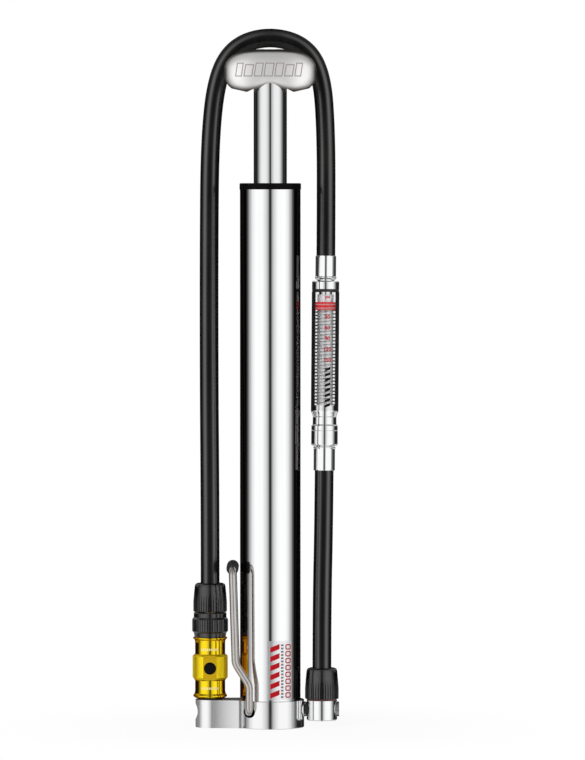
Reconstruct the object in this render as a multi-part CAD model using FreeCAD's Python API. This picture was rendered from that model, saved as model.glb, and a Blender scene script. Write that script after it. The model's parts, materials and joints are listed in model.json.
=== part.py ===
import FreeCAD, Part
import math
import os

# Mini floor pump: barrel on a machined base, T handle, inline gauge, stowed hose, folding foot peg.
# Millimetres. Origin on the barrel axis at the underside of the base, +Z up, +X to the hose side.

# Base and barrel
BASE_R = 15.1
BASE_H = 12.4
BARREL_R = 13.5
BARREL_BORE_R = 12.0
BARREL_BOTTOM = 11.2
BARREL_TOP = 239.8
BOSS_TOP = 20.0
CAP_R = 13.7
CAP_TOP = 242.6
ARM_HALF = 7.1
ARM_END_X = -26.3
ARM_FLARE_R = 80.0

# Chuck stack on the arm
CHUCK_X = -26.85
STUB_R = 3.8
STUB_TOP = 22.0
BUTTON_Z = 26.6
NUT_R = 7.5

# Foot peg
PEG_X = -9.33
PEG_Z = 7.5
PEG_LEG_Y = 14.6
PEG_WIRE_R = 1.65
PEG_BORE_R = 1.70
PEG_BAR = (-16.8, 71.3)
SLEEVE_R = 2.7

# Rod, piston and handle at the stowed height
ROD_R = 7.4
ROD_BORE_R = 5.9
ROD_BOTTOM = 80.45
ROD_TOP = 294.0
HANDLE_TOP = 302.2
HANDLE_HALF_WIDTH = 20.6
HANDLE_HALF_DEPTH = 9.0
PISTON_BOTTOM = 62.0

# Swivel block and hoses
SWIVEL_X = 23.0
SWIVEL_Z = 8.0
SWIVEL_R = 6.8
HOSE_R = 4.2
HOSE_BORE_R = 2.0

# Gauge axis: it leans a little with the hose
GAUGE_LOW = FreeCAD.Vector(24.05, 3.0, 114.4)
GAUGE_HIGH = FreeCAD.Vector(24.8, 7.0, 210.2)
ARCH_Y = 13.8

# Sides of a spring wire's section
WIRE_SIDES = 8

UP = FreeCAD.Vector(0, 0, 1)


def vec(x, y, z):
    return FreeCAD.Vector(x, y, z)


def save(shape, node):
    """Writes one node as a STEP file."""
    shape.exportStep("parts/" + node + ".step")


def post(r, z0, z1, x=0.0, y=0.0):
    """Upright cylinder."""
    return Part.makeCylinder(r, z1 - z0, vec(x, y, z0), UP)


def ring(r_out, r_in, z0, z1, x=0.0, y=0.0):
    """Upright ring."""
    return post(r_out, z0, z1, x, y).cut(post(r_in, z0 - 1, z1 + 1, x, y))


def bar_x(r, x0, x1, y, z):
    """Cylinder lying along X."""
    return Part.makeCylinder(r, x1 - x0, vec(x0, y, z), vec(1, 0, 0))


def bar_y(r, y0, y1, x, z):
    """Cylinder lying along Y."""
    return Part.makeCylinder(r, y1 - y0, vec(x, y0, z), vec(0, 1, 0))


def turned(profile, x=0.0, y=0.0):
    """Solid of revolution about an upright axis from (radius, height) corners."""
    points = [vec(x + r, y, z) for r, z in profile]
    points.append(points[0])
    face = Part.Face(Part.makePolygon(points))
    return face.revolve(vec(x, y, 0), UP, 360)


def turned_y(profile, x, z):
    """Solid of revolution about a Y axis from (radius, y) corners."""
    points = [vec(x + r, y, z) for r, y in profile]
    points.append(points[0])
    face = Part.Face(Part.makePolygon(points))
    return face.revolve(vec(x, 0, z), vec(0, 1, 0), 360)


def fluted(shape, teeth, crest_r, root_r, z0, z1, x=0.0, y=0.0):
    """Keeps the part of a turned shape inside a prism with vee flutes all round."""
    points = []
    for i in range(teeth):
        for share, r in ((0.0, root_r), (0.28, crest_r), (0.72, crest_r)):
            a = 2 * math.pi * (i + share) / teeth
            points.append(vec(x + r * math.cos(a), y + r * math.sin(a), z0))
    points.append(points[0])
    prism = Part.Face(Part.makePolygon(points)).extrude(vec(0, 0, z1 - z0))
    return shape.common(prism)


def hexagon_x(across, x0, x1, y, z):
    """Hexagonal bar lying along X."""
    r = across / math.sqrt(3)
    points = []
    for i in range(7):
        a = math.radians(60 * i)
        points.append(vec(x0, y + r * math.cos(a), z + r * math.sin(a)))
    return Part.Face(Part.makePolygon(points)).extrude(vec(x1 - x0, 0, 0))


def hexagon(across, z0, z1, x=0.0, y=0.0):
    """Upright hexagonal bar."""
    r = across / math.sqrt(3)
    points = []
    for i in range(7):
        a = math.radians(60 * i)
        points.append(vec(x + r * math.cos(a), y + r * math.sin(a), z0))
    return Part.Face(Part.makePolygon(points)).extrude(vec(0, 0, z1 - z0))


def torus(major, minor, z, x=0.0, y=0.0):
    """O-ring lying flat."""
    return Part.makeTorus(major, minor, vec(x, y, z), UP)


def coil(mean_r, wire_r, z0, z1, turns, x=0.0, y=0.0):
    """Upright coil spring of flat-sided wire that fits between two heights."""
    height = z1 - z0 - 2 * wire_r
    helix = Part.makeHelix(height / turns, height, mean_r)
    corners = []
    for i in range(WIRE_SIDES + 1):
        a = 2 * math.pi * (i + 0.5) / WIRE_SIDES
        corners.append(vec(mean_r + wire_r * math.cos(a), 0, wire_r * math.sin(a)))
    section = Part.makePolygon(corners)
    spring = Part.Wire(helix.Edges).makePipeShell([section], True, True)
    spring.translate(vec(x, y, z0 + wire_r))
    return spring


def bend_radius(points, i):
    """Radius of the arc that takes 0.45 of the shorter run at one corner."""
    back = points[i - 1] - points[i]
    ahead = points[i + 1] - points[i]
    half_turn = (math.pi - back.getAngle(ahead)) / 2
    return 0.45 * min(back.Length, ahead.Length) / math.tan(half_turn)


def route(points, radii=None):
    """Straight runs joined by tangent arcs, one wire."""
    edges = []
    start = points[0]
    for i in range(1, len(points) - 1):
        corner = points[i]
        back = (points[i - 1] - corner).normalize()
        ahead = (points[i + 1] - corner).normalize()
        half_turn = (math.pi - back.getAngle(ahead)) / 2
        radius = radii[i - 1] if radii else bend_radius(points, i)
        reach = radius * math.tan(half_turn)
        enter = corner + back * reach
        leave = corner + ahead * reach
        inward = (back + ahead).normalize()
        middle = corner + inward * (radius / math.cos(half_turn) - radius)
        edges.append(Part.LineSegment(start, enter).toShape())
        edges.append(Part.Arc(enter, middle, leave).toShape())
        start = leave
    edges.append(Part.LineSegment(start, points[-1]).toShape())
    return Part.Wire(edges)


def swept(wire, points, radius):
    """Round bar along a route."""
    circle = Part.makeCircle(radius, points[0], points[1] - points[0])
    return wire.makePipeShell([Part.Wire(circle)], True, False)


def hose(points, name):
    """Hollow hose along a route; prints its bend radii and length."""
    wire = route(points)
    tube = swept(wire, points, HOSE_R).cut(swept(wire, points, HOSE_BORE_R))
    radii = [round(bend_radius(points, i), 1) for i in range(1, len(points) - 1)]
    section = math.pi * (HOSE_R ** 2 - HOSE_BORE_R ** 2)
    print(name, "bend radii", radii, "length", round(wire.Length, 1))
    print(name, "volume over section times length", round(tube.Volume / section / wire.Length, 4))
    return tube


def gauge_direction():
    return (GAUGE_HIGH - GAUGE_LOW).normalize()


def on_gauge(shape):
    """Moves a shape drawn on the Z axis onto the leaning gauge axis, keeping its heights."""
    turn = FreeCAD.Rotation(UP, gauge_direction())
    placed = shape.copy()
    placed.translate(vec(0, 0, -GAUGE_LOW.z))
    placed.Placement = FreeCAD.Placement(GAUGE_LOW, turn).multiply(placed.Placement)
    return placed


def gauge_point(height):
    """Point on the gauge axis at a height counted along it."""
    return GAUGE_LOW + gauge_direction() * (height - GAUGE_LOW.z)


# ---- base -------------------------------------------------------------------


def arm_body():
    """Arm for the chuck: a round end, and sides that flare gently towards the base."""
    run = 12.3
    flare = ARM_FLARE_R - math.sqrt(ARM_FLARE_R ** 2 - run ** 2)
    flare_half = ARM_FLARE_R - math.sqrt(ARM_FLARE_R ** 2 - (run / 2) ** 2)
    near = vec(ARM_END_X, -ARM_HALF, 0)
    middle = vec(ARM_END_X + run / 2, -ARM_HALF - flare_half, 0)
    wide = vec(ARM_END_X + run, -ARM_HALF - flare, 0)
    inner = vec(0, -ARM_HALF - flare, 0)
    half = [Part.Arc(near, middle, wide).toShape(), Part.LineSegment(wide, inner).toShape()]
    other = [edge.mirror(vec(0, 0, 0), vec(0, 1, 0)) for edge in half]
    ends = [
        Part.LineSegment(inner, vec(inner.x, -inner.y, 0)).toShape(),
        Part.LineSegment(near, vec(near.x, -near.y, 0)).toShape(),
    ]
    outline = Part.Wire(Part.sortEdges(half + other + ends)[0])
    arm = Part.Face(outline).extrude(vec(0, 0, BASE_H))
    return arm.fuse(post(ARM_HALF, 0, BASE_H, ARM_END_X))


def base_block():
    """Round base with a boss inside the barrel, an arm for the chuck and a neck for the swivel."""
    body = turned([(0, 0), (14.8, 0), (BASE_R, 0.3), (BASE_R, 12.2), (14.9, BASE_H), (0, BASE_H)])
    body = body.fuse([arm_body(), bar_x(3.35, 12.0, 15.75, 0, SWIVEL_Z)])
    body = body.cut(ring(BARREL_R + 0.03, 11.9, BARREL_BOTTOM, 30))
    body = body.fuse(turned([(0, 11), (11.95, 11), (11.95, 19.5), (11.4, BOSS_TOP), (0, BOSS_TOP)]))
    holes = [
        ring(13, 10.4, 16.0, 18.0),
        post(5.2, 16.0, BOSS_TOP + 1),
        post(4.2, 9.6, 16.0),
        post(1.2, 7.0, 10.0),
        bar_x(1.2, 0, 10, 0, SWIVEL_Z),
        bar_x(2.5, 9.5, 17, 0, SWIVEL_Z),
        post(2.5, 5.0, 13, CHUCK_X),
        bar_x(3.65, -35, -30.3, 0, 7.0),
    ]
    for side in (-1, 1):
        near = side * 5.9
        far = side * 17
        holes.append(bar_y(PEG_BORE_R, min(near, far), max(near, far), PEG_X, PEG_Z))
        near = side * 10.6
        holes.append(bar_y(2.5, min(near, far), max(near, far), PEG_X, PEG_Z))
    return body.cut(holes).removeSplitter()


def arm_end_plug():
    """Plug at the bottom of the hole in the arm's end, with a hexagon socket."""
    plug = bar_x(3.6, -31.6, -30.3, 0, 7.0)
    return plug.cut(hexagon_x(3.0, -32, -31.0, 0, 7.0))


def stow_stub():
    """Threaded stub that the chuck is screwed onto for stowing."""
    profile = [(0, 5.2), (2.45, 5.2), (2.45, BASE_H), (STUB_R, BASE_H)]
    z = 13.6
    while z < 20.8:
        profile += [(STUB_R, z), (3.55, z + 0.3), (STUB_R, z + 0.6)]
        z += 1.2
    profile += [(STUB_R, 21.4), (3.2, STUB_TOP), (0, STUB_TOP)]
    return turned(profile, CHUCK_X).cut(hexagon(2.5, 20.0, 23, CHUCK_X))


def barrel_label():
    """Thin sticker low on the barrel's front."""
    skin = ring(BARREL_R + 0.08, BARREL_R, 12.9, 39.3)
    reach = 30.0
    corners = [vec(0, 0, 12)]
    for degrees in (-5.1, 19.0, 43.5):
        a = math.radians(degrees)
        corners.append(vec(reach * math.sin(a), -reach * math.cos(a), 12))
    corners.append(corners[0])
    wedge = Part.Face(Part.makePolygon(corners)).extrude(vec(0, 0, 30))
    return skin.common(wedge)


# ---- barrel head --------------------------------------------------------------


def top_cap():
    """Black screw cap with a groove for the rod wiper."""
    outline = [(7.45, 229.5), (11.95, 229.5), (11.95, BARREL_TOP), (CAP_R, BARREL_TOP)]
    outline += [(CAP_R, CAP_TOP - 0.35), (CAP_R - 0.35, CAP_TOP), (7.9, CAP_TOP), (7.45, CAP_TOP - 0.45)]
    outline += [(7.45, 238.2), (9.0, 238.2), (9.0, 236.0), (7.45, 236.0)]
    return turned(outline)


def check_valve_seat():
    """Insert screwed into the boss, with a seat on its underside."""
    seat = turned([(1.5, 16.05), (5.15, 16.05), (5.15, BOSS_TOP), (2.6, BOSS_TOP), (1.5, 18.9)])
    slots = Part.makeBox(10.4, 1.2, 1.0, vec(-5.2, -0.6, BOSS_TOP - 1.0))
    return seat.cut(slots)


# ---- foot peg -----------------------------------------------------------------


def foot_peg_wire():
    """Bent wire loop whose two ends turn in the base."""
    leg = [(PEG_X, PEG_Z), (PEG_X, 19.6), (-15.5, 29.4), PEG_BAR]
    points = [vec(PEG_X, -6.0, PEG_Z)]
    points += [vec(x, -PEG_LEG_Y, z) for x, z in leg]
    points += [vec(x, PEG_LEG_Y, z) for x, z in reversed(leg)]
    points += [vec(PEG_X, 6.0, PEG_Z)]
    radii = [2.4, 6.0, 6.0, 3.6, 3.6, 6.0, 6.0, 2.4]
    return swept(route(points, radii), points, PEG_WIRE_R)


def foot_peg_sleeve():
    """Rubber sleeve on the cross bar."""
    half = 10.6
    profile = [(PEG_WIRE_R + 0.02, -half), (SLEEVE_R - 0.3, -half), (SLEEVE_R, -half + 0.4)]
    profile += [(SLEEVE_R, half - 0.4), (SLEEVE_R - 0.3, half), (PEG_WIRE_R + 0.02, half)]
    return turned_y(profile, PEG_BAR[0], PEG_BAR[1])


# ---- rod, handle and piston ---------------------------------------------------


def rounding(share, power, root):
    """Falls from 1 at the middle to 0 at the end of a rounded form."""
    return max(0.0, 1 - share ** power) ** (1 / root)


def grip_section(x):
    """Closed rounded section of the grip across X."""
    share = abs(x) / HANDLE_HALF_WIDTH
    above = 10.0 * rounding(share, 3.0, 2.3)
    below = 10.3 * rounding(share, 4.0, 2.2) - 2.4 * math.exp(-(x / 6.5) ** 2)
    depth = HANDLE_HALF_DEPTH * rounding(share, 3.4, 2.2)
    points = []
    for i in range(20):
        a = 2 * math.pi * i / 20
        y = depth * math.copysign(abs(math.cos(a)) ** 0.84, math.cos(a))
        rise = math.copysign(abs(math.sin(a)) ** 0.84, math.sin(a))
        points.append(vec(x, y, HANDLE_TOP - 10.0 + rise * (above if rise > 0 else below)))
    curve = Part.BSplineCurve()
    curve.interpolate(points, PeriodicFlag=True)
    return Part.Wire(curve.toShape())


def handle_grip():
    """Rounded grip before its underside is trimmed."""
    steps = 11
    stations = []
    for i in range(-steps, steps + 1):
        stations.append(HANDLE_HALF_WIDTH * 0.9985 * math.sin(math.pi / 2 * i / steps))
    return Part.makeLoft([grip_section(x) for x in stations], True, False)


def handle():
    """T handle with a socket for the rod and a counterbored screw hole."""
    floor = [(-30, 310), (-30, 287.6), (-20.4, 287.6), (-17.3, 284.75), (-10.4, 283.2), (-7.6, 284.6)]
    floor += [(7.6, 284.6), (10.4, 283.2), (17.3, 284.75), (20.4, 287.6), (30, 287.6), (30, 310)]
    corners = [vec(x, -20, z) for x, z in floor]
    corners.append(corners[0])
    keep = Part.Face(Part.makePolygon(corners)).extrude(vec(0, 40, 0))
    body = handle_grip().common(keep)
    return body.cut([post(ROD_R + 0.02, 270, ROD_TOP), post(2.55, ROD_TOP - 1, 298), post(3.1, 297, 310)])


def handle_screw():
    """Screw down into the rod's top plug, its domed head level with the grip."""
    dome = [(3.0, 301.5), (2.7, 301.85), (2.1, 302.1), (0, 302.15)]
    screw = turned([(0, 284), (2.45, 284), (2.45, 297.0), (3.0, 297.0)] + dome)
    return screw.cut(hexagon(2.5, 299.6, 303))


def piston_head():
    """Piston with a groove for its ring."""
    z = PISTON_BOTTOM + 4.4
    outline = [(2.55, z), (11.2, z), (11.6, z + 0.4), (11.6, z + 4.5), (9.4, z + 4.5), (9.4, z + 8.9)]
    outline += [(11.6, z + 8.9), (11.6, z + 13.6), (11.2, z + 14.0), (2.55, z + 14.0)]
    return turned(outline)


def piston_ring():
    """Cup seal that runs in the barrel."""
    z = PISTON_BOTTOM + 9.0
    outline = [(9.45, z), (11.5, z), (11.92, z + 0.6), (11.92, z + 3.6), (11.5, z + 4.2), (9.45, z + 4.2)]
    return turned(outline)


def piston_bolt():
    """Bolt that holds the piston under the turning rod."""
    z = PISTON_BOTTOM
    outline = [(0, z), (4.2, z), (4.5, z + 0.3), (4.5, z + 3.0), (2.5, z + 3.0)]
    outline += [(2.5, z + 37.5), (0, z + 37.5)]
    return turned(outline).cut(hexagon(4.0, z - 1, z + 1.6))


# ---- swivel block and nuts ----------------------------------------------------


def swivel_block():
    """Upright round block that turns on the banjo bolt."""
    outline = [(0, 3.0), (6.3, 3.0), (SWIVEL_R, 3.5), (SWIVEL_R, 11.95), (6.55, 12.2), (0, 12.2)]
    body = turned(outline, SWIVEL_X)
    return body.cut([
        bar_x(2.55, 10, 36, 0, SWIVEL_Z),
        bar_x(3.0, 21.5, 24.5, 0, SWIVEL_Z),
        bar_x(3.75, 10, 17.0, 0, SWIVEL_Z),
        bar_x(3.65, 28.95, 36, 0, SWIVEL_Z),
        post(2.45, 10.6, 13, SWIVEL_X),
    ])


def banjo_bolt():
    """Hollow bolt screwed into the base through the swivel block."""
    bolt = bar_x(2.5, 9.6, 29.05, 0, SWIVEL_Z).fuse(bar_x(3.3, 29.05, 30.7, 0, SWIVEL_Z))
    return bolt.cut([
        bar_x(1.0, 9, 23.6, 0, SWIVEL_Z),
        post(0.9, SWIVEL_Z - 4, SWIVEL_Z + 4, SWIVEL_X),
        hexagon_x(3.0, 29.3, 31, 0, SWIVEL_Z),
    ]).removeSplitter()


def hose_nut(wide_z, narrow_z, x):
    """Tapered nut, fluted at its wide end; the wide end may be above or below the narrow one."""
    up = narrow_z - wide_z
    shape = [(0.0, 7.25), (0.02, NUT_R), (0.34, NUT_R), (0.62, 7.2)]
    shape += [(0.88, 6.88), (0.95, 6.65), (0.975, 6.35), (0.99, 5.95), (1.0, 5.6)]
    profile = [(2.5, wide_z)]
    profile += [(r, wide_z + share * up) for share, r in shape]
    bore = HOSE_R + 0.05
    profile += [(bore, narrow_z), (bore, wide_z + 0.14 * up), (2.5, wide_z + 0.14 * up)]
    body = turned(profile, x)
    return fluted(body, 42, 7.7, 7.14, min(wide_z, narrow_z) - 1, max(wide_z, narrow_z) + 1, x)


def hose_barb(tip_z, shoulder_z, end_z, spigot_r, x):
    """Barbed tail up inside a hose, over a plain spigot."""
    profile = [(0.9, end_z), (spigot_r, end_z), (spigot_r, shoulder_z), (1.6, shoulder_z)]
    z = shoulder_z
    while z + 2.4 < tip_z:
        profile += [(1.6, z + 0.4), (1.96, z + 0.5), (1.6, z + 2.2)]
        z += 2.4
    profile += [(1.6, tip_z), (0.9, tip_z)]
    return turned(profile, x)


# ---- chuck --------------------------------------------------------------------


def chuck_hose_barb():
    """Barb for the long hose, with a flange held inside the collar so the chuck can spin."""
    tail = hose_barb(61.5, 53.3, 52.0, 2.45, CHUCK_X)
    shank = ring(3.0, 0.9, 45.0, 51.6, CHUCK_X).fuse(ring(4.3, 0.9, 44.6, 46.5, CHUCK_X))
    return shank.fuse([ring(2.45, 0.9, 51.0, 52.5, CHUCK_X), tail]).removeSplitter()


def chuck_collar():
    """Black fluted collar screwed onto the chuck body."""
    profile = [(5.05, 40.2), (6.95, 40.2), (7.15, 41.5), (7.3, 42.2), (8.0, 42.9), (8.0, 48.2), (7.3, 49.1)]
    profile += [(7.3, 50.9), (7.0, 51.3), (3.05, 51.3), (3.05, 46.6), (4.4, 46.6)]
    profile += [(4.4, 44.45), (5.05, 44.45)]
    return fluted(turned(profile, CHUCK_X), 44, 8.2, 7.72, 39, 52, CHUCK_X)


def chuck_body():
    """Waisted gold body: flanged ends and a splined middle block with a flat for the button."""
    profile = [(4.1, 12.95), (6.3, 12.95), (7.2, 13.5), (7.55, 13.95), (7.5, 14.3), (6.9, 15.1), (6.7, 16.4)]
    profile += [(6.7, 20.8), (7.85, 20.8), (7.85, 32.4), (6.7, 32.4), (6.7, 37.9), (6.85, 38.9), (7.55, 39.6)]
    profile += [(7.6, 40.0), (7.4, 40.2), (5.0, 40.2), (5.0, 44.4), (1.5, 44.4), (1.5, 23.7), (4.1, 23.7)]
    body = turned(profile, CHUCK_X)
    outline = [(0, 20.9), (6.75, 20.9), (7.85, 22.3), (7.85, 31.7), (7.5, 32.1), (6.7, 32.7), (0, 32.7)]
    block = fluted(turned(outline, CHUCK_X), 64, 7.95, 7.62, 20, 34, CHUCK_X)
    waist = ring(12, 6.7, 20.8, 32.8, CHUCK_X)
    body = body.cut(waist).fuse(block.cut(post(6.0, 20, 34, CHUCK_X)))
    flat = Part.makeBox(20, 10, 20, vec(CHUCK_X - 10, -17.2, 19))
    return body.cut([
        flat,
        bar_y(2.75, -12, -3.0, CHUCK_X, BUTTON_Z),
        bar_y(1.1, -3.2, 0, CHUCK_X, BUTTON_Z),
    ]).removeSplitter()


def bleed_button():
    """Push button with a stem and a groove for its seal."""
    outline = [(0, -7.75), (2.1, -7.75), (2.55, -7.35), (2.55, -6.95), (1.95, -6.95)]
    outline += [(1.95, -6.15), (2.55, -6.15), (2.55, -5.75), (1.0, -5.75), (1.0, -1.6), (0, -1.6)]
    return turned_y(outline, CHUCK_X, BUTTON_Z)


def bleed_spring():
    """Small coil spring behind the button."""
    spring = coil(1.65, 0.2, 0, 2.65, 4)
    spring.rotate(vec(0, 0, 0), vec(1, 0, 0), 90)
    spring.translate(vec(CHUCK_X, -3.05, BUTTON_Z))
    return spring


# ---- gauge --------------------------------------------------------------------


def gauge_ferrule(lip_z, end_z, wide, first_flat):
    """Crimped ferrule: a round flared lip next to the gauge, then eight crimp flats along the hose."""
    away = 1 if end_z > lip_z else -1
    bore = HOSE_R + 0.05
    crimp_z = lip_z + 1.5 * away
    profile = [(2.0, lip_z), (wide - 0.45, lip_z)]
    profile += [(wide + 0.2, lip_z + share * away) for share in (0.75, 1.0)]
    profile += [(wide, crimp_z), (wide, end_z - 0.3 * away), (wide - 0.15, end_z)]
    profile += [(bore, end_z), (bore, lip_z + 2.0 * away), (2.0, lip_z + 2.0 * away)]
    body = turned(profile)
    for i in range(8):
        corner = vec(0.962 * wide, -3.0, min(crimp_z, end_z + away))
        slab = Part.makeBox(3.0, 6.0, abs(end_z + away - crimp_z), corner)
        slab.rotate(vec(0, 0, 0), UP, first_flat + 45.0 * i)
        body = body.cut(slab)
    return body


def gauge_lower_body():
    """Waisted silver body with a barb below and a spigot inside the window."""
    profile = [(1.0, 116.5), (1.95, 116.5), (1.95, 125.5), (5.35, 125.5), (5.75, 125.75), (5.9, 126.2)]
    profile += [(5.9, 132.0), (5.7, 132.2), (5.85, 132.4), (5.85, 134.3), (5.7, 134.6), (5.3, 134.9)]
    profile += [(5.25, 138.2), (5.12, 138.4), (5.3, 138.6), (5.6, 139.6), (6.1, 140.7), (6.15, 141.1)]
    profile += [(5.3, 141.1), (5.3, 143.5), (1.0, 143.5)]
    return turned(profile)


def gauge_top_cap():
    """Silver cap over the window, with a barb above."""
    profile = [(1.0, 193.0), (2.9, 193.0), (2.9, 195.3), (6.05, 195.3), (6.05, 198.5)]
    profile += [(5.6, 199.0), (3.8, 199.0), (3.8, 199.5), (1.95, 199.5), (1.95, 208.0), (1.0, 208.0)]
    return turned(profile)


# ---- hose routes --------------------------------------------------------------


def lower_hose_points():
    return [
        vec(SWIVEL_X, 0, 14.55),
        vec(SWIVEL_X, 0, 52.0),
        gauge_point(92.0),
        gauge_point(123.0),
    ]


def long_hose_points():
    return [
        gauge_point(201.7),
        gauge_point(228.0),
        vec(24.9, 12.4, 266),
        vec(23.0, ARCH_Y, 291.4),
        vec(15.3, ARCH_Y, 304.2),
        vec(-0.1, ARCH_Y, 308.5),
        vec(-15.3, ARCH_Y, 304.3),
        vec(-23.7, ARCH_Y, 291.2),
        vec(-27.0, 12.45, 263.2),
        vec(-27.4, 9.0, 216),
        vec(-27.3, 3.2, 150),
        vec(CHUCK_X, 0, 100),
        vec(CHUCK_X, 0, 53.4),
    ]


def build():
    os.makedirs("parts", exist_ok=True)
    p = PISTON_BOTTOM

    # Base, barrel and barrel head
    save(base_block(), "base_block")
    save(arm_end_plug(), "arm_end_plug")
    save(ring(BARREL_R, BARREL_BORE_R, BARREL_BOTTOM, BARREL_TOP), "barrel_tube")
    save(torus(11.2, 0.78, 17.0), "barrel_base_seal")
    save(barrel_label(), "barrel_label")
    save(top_cap(), "top_cap")
    save(ring(11.95, 7.45, 223.0, 229.5), "rod_guide_bush")
    save(torus(8.22, 0.77, 237.1), "rod_wiper_ring")
    save(check_valve_seat(), "check_valve_seat")
    save(post(3.4, 14.2, 16.0), "check_valve_disc")
    save(coil(2.6, 0.3, 9.65, 14.15, 4), "check_valve_spring")

    # Foot peg
    save(foot_peg_wire(), "foot_peg_wire")
    save(foot_peg_sleeve(), "foot_peg_sleeve")

    # Rod, handle and piston
    save(ring(ROD_R, ROD_BORE_R, ROD_BOTTOM, ROD_TOP), "piston_rod")
    save(ring(5.88, 2.6, ROD_BOTTOM, 94.0), "rod_end_plug")
    save(ring(5.88, 2.5, 281.0, ROD_TOP), "rod_top_plug")
    save(handle(), "handle")
    save(handle_screw(), "handle_screw")
    save(piston_head(), "piston_head")
    save(piston_ring(), "piston_ring")
    save(ring(10.5, 2.55, p + 3.0, p + 4.4), "piston_washer")
    save(piston_bolt(), "piston_bolt")
    save(hexagon(8.0, 94.1, 98.4).cut(post(2.52, 94, 99)), "piston_lock_nut")
    save(ring(11.0, 7.5, p + 18.4, p + 21.8), "piston_bumper")

    # Swivel block and its hose end
    save(swivel_block(), "swivel_block")
    save(banjo_bolt(), "banjo_bolt")
    seal = bar_x(3.25, 15.8, 16.95, 0, SWIVEL_Z)
    save(seal.cut(bar_x(2.52, 15, 18, 0, SWIVEL_Z)), "banjo_seal")
    save(ring(6.65, 2.5, 12.2, 12.6, SWIVEL_X), "swivel_nut_washer")
    save(hose_nut(12.6, 26.4, SWIVEL_X), "swivel_hose_nut")
    save(hose_barb(22.5, 14.3, 10.65, 2.42, SWIVEL_X), "swivel_barb")

    # Gauge
    save(on_gauge(gauge_ferrule(125.5, 114.4, 4.75, 22.5)), "gauge_lower_ferrule")
    save(on_gauge(gauge_lower_body()), "gauge_lower_body")
    save(on_gauge(ring(6.15, 5.35, 141.1, 194.1)), "gauge_window")
    save(on_gauge(ring(3.6, 1.2, 143.5, 193.0)), "gauge_core")
    save(on_gauge(ring(5.25, 3.7, 186.1, 189.5)), "gauge_indicator")
    save(on_gauge(coil(4.45, 0.22, 143.6, 186.05, 28)), "gauge_spring")
    save(on_gauge(ring(6.0, 2.95, 194.1, 195.3)), "gauge_top_seal")
    save(on_gauge(gauge_top_cap()), "gauge_top_cap")
    save(on_gauge(gauge_ferrule(199.5, 210.2, 4.6, 22.5)), "gauge_upper_ferrule")

    # Hoses
    save(hose(lower_hose_points(), "hose_lower"), "hose_lower")
    save(hose(long_hose_points(), "hose_long"), "hose_long")

    # Stowed chuck
    save(stow_stub(), "stow_stub")
    save(ring(5.6, 3.9, BASE_H, 12.9, CHUCK_X), "stow_gasket")
    save(chuck_body(), "chuck_body")
    save(ring(4.08, 2.2, 22.3, 23.7, CHUCK_X), "chuck_valve_seal")
    save(chuck_collar(), "chuck_collar")
    save(hose_nut(51.6, 64.3, CHUCK_X), "chuck_hose_nut")
    save(chuck_hose_barb(), "chuck_hose_barb")
    save(bleed_button(), "bleed_button")
    seal = Part.makeTorus(2.33, 0.36, vec(CHUCK_X, -6.55, BUTTON_Z), vec(0, 1, 0))
    save(seal, "bleed_seal")
    save(bleed_spring(), "bleed_spring")

    print("gauge axis", [round(v, 6) for v in gauge_direction()])


build()
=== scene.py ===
import json
import math

import bmesh
import bpy
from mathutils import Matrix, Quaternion, Vector
from mathutils.bvhtree import BVHTree


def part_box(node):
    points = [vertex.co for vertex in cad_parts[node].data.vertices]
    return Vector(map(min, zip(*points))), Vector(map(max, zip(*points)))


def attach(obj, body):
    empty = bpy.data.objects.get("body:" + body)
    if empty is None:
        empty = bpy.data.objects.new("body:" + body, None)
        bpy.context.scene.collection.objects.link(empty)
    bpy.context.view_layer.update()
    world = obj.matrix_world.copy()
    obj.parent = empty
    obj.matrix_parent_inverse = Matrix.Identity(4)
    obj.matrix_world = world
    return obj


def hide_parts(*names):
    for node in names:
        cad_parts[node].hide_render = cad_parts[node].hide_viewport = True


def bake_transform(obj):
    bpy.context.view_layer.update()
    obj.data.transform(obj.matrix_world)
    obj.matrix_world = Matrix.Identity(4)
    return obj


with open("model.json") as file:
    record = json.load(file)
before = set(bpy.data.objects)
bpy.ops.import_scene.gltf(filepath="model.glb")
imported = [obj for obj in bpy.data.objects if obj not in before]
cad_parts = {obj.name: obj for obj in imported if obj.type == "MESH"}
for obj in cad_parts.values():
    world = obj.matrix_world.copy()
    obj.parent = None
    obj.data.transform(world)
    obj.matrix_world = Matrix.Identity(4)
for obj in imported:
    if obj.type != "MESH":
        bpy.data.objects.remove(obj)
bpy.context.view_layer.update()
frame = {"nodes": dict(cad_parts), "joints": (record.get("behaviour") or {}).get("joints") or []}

# The looks of the mini floor pump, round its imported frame. Metres, in the frame's own axes.
scene = bpy.context.scene
MM = 0.001


# ---- camera -------------------------------------------------------------------

CAMERA_PLACE = Vector((0.0099, -2.7, 0.242))
CAMERA_TARGET = Vector((0.0099, 0.0, 0.1549))
CAMERA_LENS = 287.1


def make_camera():
    data = bpy.data.cameras.new("camera")
    data.sensor_width = 36.0
    data.lens = CAMERA_LENS
    data.clip_start = 0.05
    data.clip_end = 60.0
    camera = bpy.data.objects.new("camera", data)
    camera.location = CAMERA_PLACE
    camera.rotation_mode = "QUATERNION"
    camera.rotation_quaternion = (CAMERA_TARGET - CAMERA_PLACE).to_track_quat("-Z", "Y")
    scene.collection.objects.link(camera)
    scene.camera = camera


make_camera()


# ---- hoses --------------------------------------------------------------------

HOSE_R = 0.0042
HOSE_BORE_R = 0.0020
HOSE_SIDES = 40

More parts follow.
